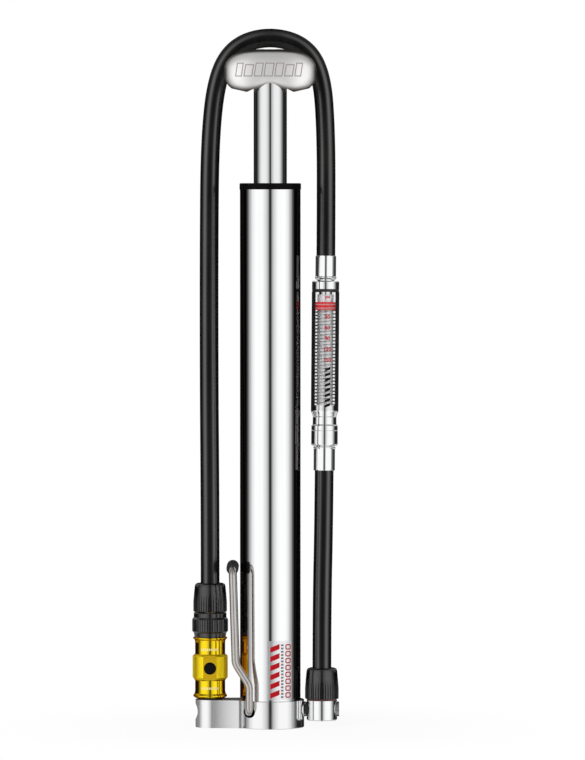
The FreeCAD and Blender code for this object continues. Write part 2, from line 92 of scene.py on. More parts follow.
LOWER_ROUTE = [
    (0.0230, 0.0, 0.01455),
    (0.0230, 0.0, 0.0520),
    (0.023875, 0.002065, 0.09202),
    (0.024117, 0.003359, 0.12299),
]
LONG_ROUTE = [
    (0.024733, 0.006645, 0.20162),
    (0.024939, 0.007743, 0.22790),
    (0.0249, 0.0124, 0.2660),
    (0.0230, 0.0138, 0.2914),
    (0.0153, 0.0138, 0.3042),
    (-0.0001, 0.0138, 0.3085),
    (-0.0153, 0.0138, 0.3043),
    (-0.0237, 0.0138, 0.2912),
    (-0.0270, 0.01245, 0.2632),
    (-0.0274, 0.0090, 0.2160),
    (-0.0273, 0.0032, 0.1500),
    (-0.02685, 0.0, 0.1000),
    (-0.02685, 0.0, 0.0534),
]


def line_along(route, name):
    """Points of the smooth line whose control points are the route."""
    curve = bpy.data.curves.new(name, "CURVE")
    curve.dimensions = "3D"
    curve.resolution_u = 16
    spline = curve.splines.new("NURBS")
    spline.points.add(len(route) - 1)
    for point, place in zip(spline.points, route):
        point.co = (*place, 1.0)
    spline.order_u = 3
    spline.use_endpoint_u = True
    holder = bpy.data.objects.new(name, curve)
    scene.collection.objects.link(holder)
    line = bpy.data.meshes.new_from_object(holder)
    points = [vertex.co.copy() for vertex in line.vertices]
    bpy.data.objects.remove(holder)
    bpy.data.meshes.remove(line)
    return points


def directions_along(path):
    """Tangent and a side vector that doesn't twist, at each point of a path."""
    tangents = []
    for i in range(len(path)):
        before = path[max(i - 1, 0)]
        after = path[min(i + 1, len(path) - 1)]
        tangents.append((after - before).normalized())
    side = tangents[0].cross(Vector((0, 1, 0))).normalized()
    frames = [(tangents[0], side)]
    for before, tangent in zip(tangents, tangents[1:]):
        side = before.rotation_difference(tangent) @ side
        frames.append((tangent, side))
    return frames


def new_piece(mesh, name):
    piece = bpy.data.objects.new(name, mesh)
    scene.collection.objects.link(piece)
    return piece


def hose_piece(path, name):
    """Hollow hose along a path, closed by a flat ring at each end."""
    shape = bmesh.new()
    walls = []
    for radius in (HOSE_R, HOSE_BORE_R):
        rings = []
        for place, (tangent, side) in zip(path, directions_along(path)):
            ring = []
            for i in range(HOSE_SIDES):
                turn = Quaternion(tangent, 2 * math.pi * i / HOSE_SIDES)
                ring.append(shape.verts.new(place + turn @ side * radius))
            rings.append(ring)
        walls.append(rings)
    outer, inner = walls
    for rings in walls:
        for low, high in zip(rings, rings[1:]):
            for i in range(HOSE_SIDES):
                j = (i + 1) % HOSE_SIDES
                shape.faces.new((low[i], low[j], high[j], high[i])).smooth = True
    for end in (0, -1):
        for i in range(HOSE_SIDES):
            j = (i + 1) % HOSE_SIDES
            shape.faces.new((outer[end][i], outer[end][j], inner[end][j], inner[end][i]))
    bmesh.ops.recalc_face_normals(shape, faces=shape.faces)
    mesh = bpy.data.meshes.new(name)
    shape.to_mesh(mesh)
    shape.free()
    return new_piece(mesh, name)


def make_hose(route, node):
    """A hose along a route from the pump body to another body; it takes the place of the frame's hose node,
    which it hides.
    """
    path = line_along(route, node + "_line")
    hose = hose_piece(path, node + "_rubber")
    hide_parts(node)
    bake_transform(hose)
    return hose


hose_lower = make_hose(LOWER_ROUTE, "hose_lower")
hose_long = make_hose(LONG_ROUTE, "hose_long")


# ---- material tools -------------------------------------------------------------


class Finish:
    """A material with its colour, roughness and relief from procedural nodes."""

    def __init__(self, name, colour, roughness, metallic=0.0, **settings):
        self.material = bpy.data.materials.new(name)
        self.material.use_nodes = True
        self.nodes = self.material.node_tree.nodes
        self.links = self.material.node_tree.links
        self.shader = self.nodes["Principled BSDF"]
        self.shader.inputs["Base Color"].default_value = (*colour, 1)
        self.shader.inputs["Roughness"].default_value = roughness
        self.shader.inputs["Metallic"].default_value = metallic
        for socket, value in settings.items():
            self.shader.inputs[socket.replace("_", " ")].default_value = value
        self.place = self.nodes.new("ShaderNodeTexCoord").outputs["Object"]
        self.relief = None

    def axis(self, letter):
        """One of the piece's own coordinates."""
        split = self.nodes.new("ShaderNodeSeparateXYZ")
        self.links.new(self.place, split.inputs[0])
        return split.outputs[letter]

    def noise(self, scale, stretch=(1, 1, 1), detail=3.0, roughness=0.5):
        """Noise from 0 to 1; stretch multiplies the frequency along each axis."""
        mapping = self.nodes.new("ShaderNodeMapping")
        mapping.inputs["Scale"].default_value = stretch
        self.links.new(self.place, mapping.inputs["Vector"])
        texture = self.nodes.new("ShaderNodeTexNoise")
        texture.inputs["Scale"].default_value = scale
        texture.inputs["Detail"].default_value = detail
        texture.inputs["Roughness"].default_value = roughness
        self.links.new(mapping.outputs[0], texture.inputs["Vector"])
        return texture.outputs[0]

    def between(self, value, low, high, start=0.0, end=1.0, smooth=False):
        """Takes low..high of a value to start..end, held at the ends."""
        mapped = self.nodes.new("ShaderNodeMapRange")
        mapped.interpolation_type = "SMOOTHSTEP" if smooth else "LINEAR"
        self.links.new(value, mapped.inputs["Value"])
        for socket, number in zip(("From Min", "From Max", "To Min", "To Max"), (low, high, start, end)):
            mapped.inputs[socket].default_value = number
        return mapped.outputs["Result"]

    def math(self, operation, first, second=None):
        """A sum, product or other step on values or numbers."""
        step = self.nodes.new("ShaderNodeMath")
        step.operation = operation
        for socket, value in zip(step.inputs, (first, second)):
            if isinstance(value, (int, float)):
                socket.default_value = value
            elif value is not None:
                self.links.new(value, socket)
        return step.outputs[0]

    def band(self, value, low, high, edge):
        """1 where a value lies from low to high, with soft edges."""
        rise = self.between(value, low - edge, low + edge, smooth=True)
        fall = self.between(value, high - edge, high + edge, 1.0, 0.0, smooth=True)
        return self.math("MULTIPLY", rise, fall)

    def edges(self, radius):
        """Near 1 along convex and concave edges, 0 on open faces."""
        soft = self.nodes.new("ShaderNodeBevel")
        soft.samples = 6
        soft.inputs["Radius"].default_value = radius
        plain = self.nodes.new("ShaderNodeNewGeometry").outputs["Normal"]
        product = self.nodes.new("ShaderNodeVectorMath")
        product.operation = "DOT_PRODUCT"
        self.links.new(soft.outputs[0], product.inputs[0])
        self.links.new(plain, product.inputs[1])
        return self.between(product.outputs["Value"], 0.995, 0.90)

    def facing(self):
        """0 where the surface faces the eye, rising to 1 at its outline."""
        layer = self.nodes.new("ShaderNodeLayerWeight")
        layer.inputs["Blend"].default_value = 0.5
        return layer.outputs["Facing"]

    def facing_up(self):
        """1 on faces that look up, -1 on those that look down."""
        split = self.nodes.new("ShaderNodeSeparateXYZ")
        self.links.new(self.nodes.new("ShaderNodeNewGeometry").outputs["Normal"], split.inputs[0])
        return split.outputs["Z"]

    def mix(self, share, first, second):
        """Colour from first to second by share."""
        blend = self.nodes.new("ShaderNodeMix")
        blend.data_type = "RGBA"
        self.links.new(share, blend.inputs[0])
        for socket, colour in ((blend.inputs[6], first), (blend.inputs[7], second)):
            if isinstance(colour, tuple):
                socket.default_value = (*colour, 1)
            else:
                self.links.new(colour, socket)
        return blend.outputs[2]

    def set(self, socket, value):
        self.links.new(value, self.shader.inputs[socket])

    def shade(self, value, dark, pale, low=0.3, high=0.7):
        """Colours the piece from dark to pale as a value goes from low to high."""
        self.set("Base Color", self.mix(self.between(value, low, high), dark, pale))

    def roughen(self, value, smooth, rough):
        """Takes the roughness from smooth to rough by a noise value."""
        self.set("Roughness", self.between(value, 0.3, 0.7, smooth, rough))

    def base_colour(self):
        """What the base colour is linked to so far."""
        return self.shader.inputs["Base Color"].links[0].from_socket

    def raise_by(self, height, depth):
        """Adds fine relief of that depth in metres."""
        bump = self.nodes.new("ShaderNodeBump")
        bump.inputs["Strength"].default_value = 1.0
        bump.inputs["Distance"].default_value = depth
        self.links.new(height, bump.inputs["Height"])
        if self.relief is not None:
            self.links.new(self.relief, bump.inputs["Normal"])
        self.relief = bump.outputs[0]
        self.links.new(self.relief, self.shader.inputs["Normal"])


def polished_metal(name, colour, roughness, grain, scratches=0.03, relief=0.0000012):
    """Bright metal with fine lines along its grain, faint smudges and hair scratches."""
    finish = Finish(name, colour, roughness, 1.0)
    lines = finish.noise(1.0, grain, 4.0, 0.6)
    smudge = finish.noise(55.0, (1, 1, 0.6), 2.0)
    clouded = finish.between(smudge, 0.3, 0.7, 0.5, 1.0)
    shade = finish.math("MULTIPLY", finish.between(lines, 0.3, 0.7), clouded)
    darker = tuple(0.93 * channel for channel in colour)
    finish.set("Base Color", finish.mix(shade, darker, colour))
    worn = finish.between(smudge, 0.35, 0.7, roughness * 0.75, roughness * 1.35)
    scratch = finish.between(finish.noise(1.0, (grain[1], grain[0] * 0.2, grain[2] * 6), 2.0), 0.66, 0.72)
    finish.set("Roughness", finish.math("ADD", worn, finish.math("MULTIPLY", scratch, scratches)))
    finish.raise_by(lines, relief)
    return finish


# Frequency of the grain along X, Y and Z, per metre.
LENGTHWISE = (1800, 1800, 12)
TURNED = (10, 10, 5200)
EVEN = (700, 700, 700)


# ---- materials --------------------------------------------------------------------


JOINTS = {joint["name"]: joint for joint in frame["joints"]}
BASE_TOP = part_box("barrel_tube")[0].z
PEG_AXIS = Vector(JOINTS["foot_peg_fold"]["pos_m"])
PEG_COUNTERBORE_R = 2.5 * MM
ARM_START = -12.2 * MM
ARM_FULL = -13.5 * MM
BLOCK_LOW = 21.4 * MM
BLOCK_HIGH = 32.7 * MM


def barrel_material():
    """Drawn and polished tube, with painted shade where it turns away and a painted brown reflection on the
    left near its foot.
    """
    finish = polished_metal("barrel_polish", (0.93, 0.935, 0.94), 0.055, LENGTHWISE)
    bright = finish.base_colour()
    # Painted shade: the colour darkens towards the outline, dark grey on the right and dark brown on the
    # left, with a painted brown reflection near the foot.
    edge = finish.between(finish.facing(), 0.26, 0.42, smooth=True)
    side = finish.between(finish.axis("X"), -0.002, 0.002)
    foot = finish.between(finish.axis("Z"), 0.046, 0.036, smooth=True)
    left = finish.mix(foot, (0.10, 0.07, 0.06), (0.50, 0.22, 0.12))
    painted_rim_shade_and_reflection = finish.mix(side, left, (0.09, 0.08, 0.08))
    tone = finish.mix(edge, bright, painted_rim_shade_and_reflection)
    above_base = finish.math("SUBTRACT", finish.axis("Z"), BASE_TOP)
    seam = finish.between(above_base, 0.0007, 0.0004)
    finish.set("Base Color", finish.mix(seam, tone, (0.03, 0.02, 0.015)))
    return finish.material


def rod_material():
    return polished_metal("rod_polish", (0.795, 0.80, 0.805), 0.045, TURNED).material


def turned_material():
    """Turned and polished aluminium, with fine tool rings."""
    return polished_metal("turned_polish", (0.90, 0.905, 0.91), 0.055, TURNED, relief=0.0000015).material


def base_material():
    """Machined base: turned rings on the round part, milled satin on the arm, painted shade in the peg bores.
    """
    finish = polished_metal("base_polish", (0.88, 0.88, 0.885), 0.085, TURNED, relief=0.000002)
    arm = finish.between(finish.axis("X"), ARM_START, ARM_FULL)
    rough = finish.shader.inputs["Roughness"].links[0].from_socket
    milled = finish.noise(1.0, (600, 600, 4200), 3.0)
    satin = finish.math("MULTIPLY", arm, finish.between(milled, 0.3, 0.7, 0.05, 0.11))
    finish.set("Roughness", finish.math("ADD", rough, satin))
    finish.set("Metallic", finish.between(arm, 0.0, 1.0, 1.0, 0.74))
    across = finish.math("SUBTRACT", finish.axis("X"), PEG_AXIS.x)
    up = finish.math("SUBTRACT", finish.axis("Z"), PEG_AXIS.z)
    squares = finish.math("ADD", finish.math("MULTIPLY", across, across), finish.math("MULTIPLY", up, up))
    # Painted shade: near-black colour round the peg axis, over the counterbore and bore.
    painted_bore_shade = finish.between(finish.math("SQRT", squares), PEG_COUNTERBORE_R + 0.06 * MM, PEG_COUNTERBORE_R)
    finish.set("Base Color", finish.mix(painted_bore_shade, finish.base_colour(), (0.03, 0.028, 0.027)))
    return finish.material


def blasted_material():
    """Bead-blasted aluminium of the grip: a fine even grain, with painted warm shade at its outline, painted
    dark shade on faces that look up and painted shade on those that look down.
    """
    finish = Finish("blasted_aluminium", (0.86, 0.85, 0.845), 0.36, 0.75)
    grain = finish.noise(5200, (1, 1, 1), 4.0, 0.7)
    cloud = finish.noise(60, (1, 1, 1), 2.0)
    tone = finish.mix(finish.between(cloud, 0.3, 0.7), (0.84, 0.83, 0.825), (0.90, 0.89, 0.885))
    # Painted shade: darker and warmer towards the outline, near black on the top, dark under the grip.
    painted_rim_shade = finish.between(finish.facing(), 0.24, 0.64, smooth=True)
    with_painted_rim_shade = finish.mix(painted_rim_shade, tone, (0.10, 0.08, 0.07))
    upward = finish.facing_up()
    top = finish.mix(finish.between(upward, 0.78, 0.95, smooth=True), with_painted_rim_shade, (0.03, 0.03, 0.035))
    painted_underside_shade = finish.between(upward, -0.45, -0.88, smooth=True)
    finish.set("Base Color", finish.mix(painted_underside_shade, top, (0.09, 0.07, 0.06)))
    finish.roughen(grain, 0.30, 0.42)
    finish.raise_by(grain, 0.00001)
    return finish.material


def black_anodised_material():
    """Satin black anodised nuts and collar, paler where the crests rub."""
    finish = Finish("black_anodised", (0.075, 0.075, 0.078), 0.2, 1.0)
    grain = finish.noise(2600, (1, 1, 0.25), 4.0, 0.6)
    wear = finish.math("MULTIPLY", finish.edges(0.00018), finish.between(finish.noise(900), 0.35, 0.75))
    tone = finish.mix(finish.between(grain, 0.3, 0.7), (0.070, 0.068, 0.068), (0.105, 0.102, 0.102))
    finish.set("Base Color", finish.mix(finish.math("MULTIPLY", wear, 0.4), tone, (0.24, 0.24, 0.245)))
    finish.roughen(grain, 0.14, 0.24)
    finish.raise_by(grain, 0.000003)
    return finish.material


def black_cap_material():
    """Deep black turned cap, fine rings and slight edge wear."""
    finish = Finish("black_cap", (0.003, 0.003, 0.003), 0.24, 0.0, Specular_IOR_Level=0.04)
    rings = finish.noise(1.0, TURNED, 3.0)
    wear = finish.math("MULTIPLY", finish.edges(0.0002), finish.between(finish.noise(700), 0.4, 0.75))
    wear = finish.math("MULTIPLY", wear, 0.3)
    finish.set("Base Color", finish.mix(wear, (0.003, 0.003, 0.003), (0.08, 0.08, 0.08)))
    finish.roughen(rings, 0.18, 0.30)
    finish.raise_by(rings, 0.000003)
    return finish.material


def gold_material():
    """Gold anodised chuck: polished waists, a satin splined block with a milled flat, a painted darker
    reflection where the block faces the eye, and painted brown shade towards the outline.
    """
    finish = Finish("gold_anodised", (0.93, 0.68, 0.02), 0.12, 1.0, Specular_Tint=(0.80, 0.42, 0.10, 1))
    height = finish.axis("Z")
    block = finish.band(height, BLOCK_LOW, BLOCK_HIGH, 0.2 * MM)
    rings = finish.noise(1.0, TURNED, 3.0)
    grain = finish.noise(3200, (1, 1, 1), 3.0)
    shiny = finish.between(rings, 0.3, 0.7, 0.08, 0.15)
    satin = finish.math("MULTIPLY", block, finish.between(grain, 0.3, 0.7, 0.16, 0.26))
    finish.set("Roughness", finish.math("ADD", shiny, satin))
    plain = finish.mix(finish.between(grain, 0.3, 0.7), (0.90, 0.63, 0.012), (0.98, 0.75, 0.022))
    # Painted reflection: the block is darker and more orange where it faces the eye straight on, as on the
    # milled flat.
    flat = finish.between(finish.facing(), 0.004, 0.03)
    block_tone_with_painted_reflection = finish.mix(flat, (1.0, 0.64, 0.020), (1.0, 0.81, 0.020))
    tone = finish.mix(block, plain, block_tone_with_painted_reflection)
    finish.set("Metallic", finish.between(block, 0.0, 1.0, 1.0, 0.82))
    # Painted shade: brown towards the outline, weaker on the block.
    painted_outline_shade = finish.between(finish.facing(), 0.18, 0.65)
    painted_outline_shade = finish.math("MULTIPLY", painted_outline_shade, finish.between(block, 0.0, 1.0, 1.0, 0.45))
    warm = finish.mix(painted_outline_shade, tone, (0.34, 0.13, 0.01))
    wear = finish.math("MULTIPLY", finish.edges(0.00015), finish.between(finish.noise(800), 0.45, 0.8))
    finish.set("Base Color", finish.mix(finish.math("MULTIPLY", wear, 0.5), warm, (0.95, 0.80, 0.30)))
    finish.raise_by(rings, 0.000002)
    return finish.material


def hose_material():
    """Smooth black rubber with a soft sheen down each side."""
    finish = Finish("hose_rubber", (0.004, 0.004, 0.004), 0.24, 0.0)
    bloom = finish.noise(130, (1, 1, 0.2), 4.0, 0.6)
    grain = finish.noise(2400, (1, 1, 0.6), 4.0, 0.65)
    finish.shade(bloom, (0.003, 0.003, 0.003), (0.010, 0.0095, 0.009), 0.35, 0.75)
    finish.roughen(grain, 0.20, 0.30)
    facing = finish.facing()
    rise = finish.between(facing, 0.01, 0.10, 0.10, 1.0, smooth=True)
    fall = finish.between(facing, 0.12, 0.42, 1.35, 0.06, smooth=True)
    finish.set("Specular IOR Level", finish.math("MULTIPLY", rise, fall))
    finish.raise_by(grain, 0.000008)
    return finish.material


def black_rubber_material():
    finish = Finish("black_rubber", (0.014, 0.013, 0.013), 0.5, 0.0, Specular_IOR_Level=0.45)
    grain = finish.noise(3000, (1, 1, 1), 4.0, 0.65)
    dust = finish.noise(240, (1, 1, 1), 3.0)
    finish.shade(dust, (0.011, 0.010, 0.010), (0.035, 0.033, 0.032), 0.45, 0.8)
    finish.roughen(grain, 0.42, 0.6)
    finish.raise_by(grain, 0.000015)
    return finish.material


def black_plastic_material():
    finish = Finish("black_plastic", (0.004, 0.004, 0.004), 0.36, 0.0, Specular_IOR_Level=0.07)
    grain = finish.noise(4200, (1, 1, 1), 3.0)
    finish.shade(grain, (0.003, 0.003, 0.003), (0.007, 0.007, 0.007))
    finish.roughen(grain, 0.30, 0.44)
    finish.raise_by(grain, 0.000008)
    return finish.material


def white_plastic_material():
    finish = Finish("white_plastic", (0.80, 0.79, 0.76), 0.4, 0.0, Subsurface_Weight=0.05)
    grain = finish.noise(1500, (1, 1, 3), 3.0)
    finish.shade(grain, (0.76, 0.75, 0.72), (0.84, 0.83, 0.80))
    finish.roughen(grain, 0.34, 0.48)
    finish.raise_by(grain, 0.000006)
    return finish.material


def steel_material():
    """Bright steel of bolts, plugs and springs."""
    return polished_metal("bright_steel", (0.62, 0.615, 0.61), 0.20, EVEN, relief=0.000004).material


def peg_material():
    """Drawn stainless wire, warm grey with fine lines along it."""
    finish = Finish("peg_wire", (0.56, 0.535, 0.515), 0.26, 1.0)
    lines = finish.noise(1.0, (3800, 3800, 90), 4.0, 0.6)
    finish.shade(lines, (0.47, 0.445, 0.425), (0.64, 0.615, 0.595))
    finish.roughen(lines, 0.20, 0.33)
    finish.raise_by(lines, 0.000006)
    return finish.material


def brass_material():
    return polished_metal("turned_brass", (0.76, 0.56, 0.24), 0.18, TURNED, relief=0.000003).material


def fibre_material():
    finish = Finish("fibre_washer", (0.16, 0.045, 0.03), 0.6)
    fibres = finish.noise(1.0, (2600, 2600, 500), 4.0, 0.7)
    finish.shade(fibres, (0.12, 0.03, 0.02), (0.26, 0.07, 0.045))
    finish.roughen(fibres, 0.5, 0.7)
    finish.raise_by(fibres, 0.00001)
    return finish.material


def label_material():
    """Brushed silver film of the sticker."""
    finish = Finish("label_film", (0.80, 0.80, 0.815), 0.26, 0.85)
    lines = finish.noise(1.0, (5200, 5200, 40), 3.0)
    finish.shade(lines, (0.74, 0.74, 0.76), (0.84, 0.84, 0.855))
    finish.roughen(lines, 0.20, 0.32)
    finish.raise_by(lines, 0.000002)
    return finish.material


def ink_material(name, colour, roughness=0.45):
    """Printed ink with slight unevenness."""
    finish = Finish(name, colour, roughness, 0.0, Specular_IOR_Level=0.12)
    patch = finish.noise(2200, (1, 1, 1), 3.0)
    thin = tuple(0.85 * channel for channel in colour)
    finish.shade(patch, thin, colour)
    finish.roughen(patch, roughness - 0.08, roughness + 0.08)
    finish.raise_by(patch, 0.000003)
    return finish.material


def indicator_material():
    finish = Finish("red_indicator", (0.90, 0.012, 0.016), 0.25, 0.0, Subsurface_Weight=0.1)
    patch = finish.noise(900, (1, 1, 1), 2.0)
    red = finish.mix(finish.between(patch, 0.3, 0.7), (0.80, 0.010, 0.014), (0.94, 0.014, 0.020))
    low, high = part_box("gauge_indicator")
    height = finish.math("SUBTRACT", finish.axis("Z"), (low.z + high.z) / 2)
    pale = finish.band(finish.math("ABSOLUTE", height), 0.0005, 0.0011, 0.0001)
    finish.set("Base Color", finish.mix(finish.math("MULTIPLY", pale, 0.6), red, (0.75, 0.50, 0.48)))
    finish.roughen(patch, 0.2, 0.32)
    return finish.material


def core_material():
    """Bright satin stem inside the gauge, paler than bare metal."""
    finish = polished_metal("gauge_stem", (0.93, 0.93, 0.925), 0.17, TURNED, relief=0.000003)
    finish.shader.inputs["Metallic"].default_value = 0.35
    return finish.material


def window_material():
    """Clear polycarbonate tube, glossy, with painted dark shade where it is seen edge on."""
    finish = Finish("clear_window", (0.012, 0.012, 0.013), 0.05, 0.0, Specular_IOR_Level=0.8)
    haze = finish.noise(160, (1, 1, 1), 2.0)
    finish.set("Roughness", finish.between(haze, 0.4, 0.8, 0.03, 0.09))
    clear = finish.nodes.new("ShaderNodeBsdfTransparent")
    clear.inputs["Color"].default_value = (0.985, 0.985, 0.99, 1)
    # Painted shade: the tube turns from clear into dark glossy plastic towards its outline.
    glass_with_painted_edge_shade = finish.nodes.new("ShaderNodeMixShader")
    finish.links.new(finish.between(finish.facing(), 0.36, 0.54, 0.03, 0.94, smooth=True), glass_with_painted_edge_shade.inputs[0])
    finish.links.new(clear.outputs[0], glass_with_painted_edge_shade.inputs[1])
    finish.links.new(finish.shader.outputs[0], glass_with_painted_edge_shade.inputs[2])
    finish.links.new(glass_with_painted_edge_shade.outputs[0], finish.nodes["Material Output"].inputs["Surface"])
    return finish.material


MATERIALS = {
    barrel_material: ["barrel_tube"],
    rod_material: ["piston_rod"],
    base_material: ["base_block"],
    turned_material: [
        "swivel_block", "stow_stub", "gauge_lower_ferrule", "gauge_lower_body", "gauge_top_cap",
        "gauge_upper_ferrule",
    ],
    blasted_material: ["handle"],
    black_anodised_material: ["swivel_hose_nut", "chuck_hose_nut", "chuck_collar"],
    black_cap_material: ["top_cap"],
    gold_material: ["chuck_body"],
    hose_material: [],
    black_rubber_material: [
        "barrel_base_seal", "rod_wiper_ring", "check_valve_disc", "foot_peg_sleeve", "piston_ring",
        "piston_bumper", "banjo_seal", "gauge_top_seal", "stow_gasket", "chuck_valve_seal", "bleed_seal",
    ],
    black_plastic_material: ["bleed_button"],
    white_plastic_material: ["rod_guide_bush", "piston_head"],
    steel_material: [
        "arm_end_plug", "check_valve_spring", "handle_screw", "rod_end_plug", "rod_top_plug",
        "piston_washer", "piston_bolt", "piston_lock_nut", "banjo_bolt", "gauge_spring", "bleed_spring",
    ],
    peg_material: ["foot_peg_wire"],
    brass_material: ["check_valve_seat", "swivel_barb", "chuck_hose_barb"],
    fibre_material: ["swivel_nut_washer"],
    label_material: ["barrel_label"],
    indicator_material: ["gauge_indicator"],
    core_material: ["gauge_core"],
    window_material: ["gauge_window"],
}


def paint(piece, material):
    piece.data.materials.clear()
    piece.data.materials.append(material)


made = {}
for make, nodes in MATERIALS.items():
    made[make] = make()
    for node in nodes:
        paint(frame["nodes"][node], made[make])
for hose in (hose_lower, hose_long):
    paint(hose, made[hose_material])


# ---- printed marks ------------------------------------------------------------------


class Round:
    """A round surface to print on: marks lie at an arc length to the right and a height."""

    def __init__(self, centre, axis, radius):
        self.centre = Vector(centre)
        self.axis = Vector(axis).normalized()
        self.right = (Vector((1, 0, 0)) - self.axis * self.axis.x).normalized()
        self.front = self.right.cross(self.axis) * -1
        if self.front.y > 0:
            self.front = -self.front
        self.radius = radius

    def at(self, across, height, lift):
        angle = across / self.radius
        out = self.front * math.cos(angle) + self.right * math.sin(angle)
        return self.centre + self.axis * height + out * (self.radius + lift)


class Facing:
    """The front of a node, met by rays along +Y."""

    def __init__(self, node):
        mesh = frame["nodes"][node].data
        corners = [vertex.co for vertex in mesh.vertices]
        self.tree = BVHTree.FromPolygons(corners, [tuple(face.vertices) for face in mesh.polygons])

    def at(self, across, height, lift):
        hit = self.tree.ray_cast(Vector((across, -0.1, height)), Vector((0, 1, 0)))[0]
        return hit - Vector((0, lift, 0))


class Print:
    """Thin raised marks gathered into one piece."""

    def __init__(self, surface, thickness=0.00004):
        self.surface = surface
        self.lift = (-thickness, thickness)
        self.shape = bmesh.new()

    def loop(self, pairs, closed=True):
        """A thin strip between pairs of (across, height) points on its two sides."""
        rows = []
        for first, second in pairs:
            row = []
            for point in (first, second):
                for lift in self.lift:
                    row.append(self.shape.verts.new(self.surface.at(*point, lift)))
            rows.append(row)
        count = len(rows)
        for i in range(count if closed else count - 1):
            a, b = rows[i], rows[(i + 1) % count]
            for p, q in ((1, 3), (3, 2), (2, 0), (0, 1)):
                self.shape.faces.new((a[p], a[q], b[q], b[p]))
        if not closed:
            for row in (rows[0], rows[-1]):
                self.shape.faces.new((row[0], row[1], row[3], row[2]))

    def bar(self, start, end, width, steps=6):
        """A straight bar from start to end, its ends level."""
        pairs = []
        for i in range(steps + 1):
            share = i / steps
            x = start[0] + share * (end[0] - start[0])
            z = start[1] + share * (end[1] - start[1])
            pairs.append(((x - width / 2, z), (x + width / 2, z)))
        self.loop(pairs, closed=False)

    def stripe(self, start, end, thickness, steps=8):
        """A stripe from start to end, its ends upright."""
        pairs = []
        for i in range(steps + 1):
            x = start[0] + (end[0] - start[0]) * i / steps
            z = start[1] + (end[1] - start[1]) * i / steps
            pairs.append(((x, z - thickness / 2), (x, z + thickness / 2)))
        self.loop(pairs, closed=False)

    def outline(self, corners, width, steps=7):
        """A line of even width just inside a four-sided shape whose corners run anticlockwise."""
        points = [Vector(corner) for corner in corners]
        count = len(points)
        inner = []
        for i in range(count):
            back = (points[i - 1] - points[i]).normalized()
            ahead = (points[(i + 1) % count] - points[i]).normalized()
            inner.append(points[i] + (back + ahead) * (width / back.cross(ahead) * -1))
        pairs = []
        for i in range(count):
            j = (i + 1) % count
            for step in range(steps):
                share = step / steps
                pairs.append((tuple(points[i].lerp(points[j], share)), tuple(inner[i].lerp(inner[j], share))))
        self.loop(pairs)

    def text(self, words, across, height, size):
        """Plain dial figures, their middle at a point."""
        curve = bpy.data.curves.new("figures", "FONT")
        curve.body = words
        curve.size = size
        curve.align_x = "CENTER"
        curve.align_y = "CENTER"
        curve.extrude = self.lift[1]
        curve.offset = 0.025 * size
        curve.resolution_u = 4
        holder = bpy.data.objects.new("figures", curve)
        scene.collection.objects.link(holder)
        bpy.context.view_layer.update()
        flat = bpy.data.meshes.new_from_object(holder.evaluated_get(bpy.context.evaluated_depsgraph_get()))
        for vertex in flat.vertices:
            vertex.co = self.surface.at(across + vertex.co.x, height + vertex.co.y, vertex.co.z)
        self.shape.from_mesh(flat)
        bpy.data.objects.remove(holder)
        bpy.data.meshes.remove(flat)

    def finish(self, name, material, body, slot):
        bmesh.ops.remove_doubles(self.shape, verts=self.shape.verts, dist=1e-7)
        bmesh.ops.recalc_face_normals(self.shape, faces=self.shape.faces)
        mesh = bpy.data.meshes.new(name)
        self.shape.to_mesh(mesh)
        self.shape.free()
        piece = new_piece(mesh, name)
        paint(piece, material)
        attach(piece, body)
        return piece


RED_INK = ink_material("red_ink", (0.44, 0.004, 0.010))
GREY_INK = ink_material("grey_ink", (0.20, 0.20, 0.21))
BLACK_INK = ink_material("black_ink", (0.003, 0.003, 0.003), 0.6)
PALE_INK = ink_material("pale_ink", (0.88, 0.78, 0.36))
ENGRAVED = ink_material("engraved_line", (0.27, 0.24, 0.225), 0.55)


def evenly(bottom, top, count):
    """The middles of equal shares of a height, each with the share's size."""
    pitch = (top - bottom) / count
    return [(bottom + (i + 0.5) * pitch, pitch) for i in range(count)]


def rounded_outline(marks, across, height, half_width, half_height, line):
    """A rounded box drawn as a line of even width."""
    pairs = []
    steps = 28
    for i in range(steps):
        a = 2 * math.pi * i / steps
        x = math.copysign(abs(math.cos(a)) ** 0.5, math.cos(a))
        z = math.copysign(abs(math.sin(a)) ** 0.5, math.sin(a))
        outer = (across + half_width * x, height + half_height * z)
        inner = (across + (half_width - line) * x, height + (half_height - line) * z)
        pairs.append((outer, inner))
    marks.loop(pairs)


def label_prints():
    """Plain red bars, grey dashes and a row of red outlines on the sticker."""
    low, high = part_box("barrel_label")
    surface = Round((0, 0, 0), (0, 0, 1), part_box("barrel_tube")[1].x + 0.00008)
    bottom = low.z + 0.7 * MM
    top = high.z - 1.2 * MM
    red = Print(surface)
    for z, pitch in evenly(bottom, top, 6):
        red.stripe((0.0, z - 0.2 * pitch), (4.2 * MM, z + 0.2 * pitch), 0.56 * pitch)
    for z, pitch in evenly(bottom, top, 8):
        rounded_outline(red, 8.5 * MM, z, 1.45 * MM, 0.40 * pitch, 0.50 * MM)
    red.finish("label_red_marks", RED_INK, "pump_body", "red_indicator")
    grey = Print(surface)
    for z, pitch in evenly(bottom, top, 17):
        grey.bar((5.5 * MM, z - 0.30 * pitch), (5.5 * MM, z + 0.30 * pitch), 1.2 * MM, 2)
    grey.finish("label_grey_marks", GREY_INK, "pump_body", "black_plastic")


GAUGE_AXIS = Vector(JOINTS["gauge_reading"]["axis"])


def gauge_surface():
    """The outside of the gauge window; heights count up from the window's foot."""
    low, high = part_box("gauge_window")
    middle = (low + high) / 2
    length = 53.0 * MM
    return Round(middle - GAUGE_AXIS * length / 2, GAUGE_AXIS, 6.15 * MM), length


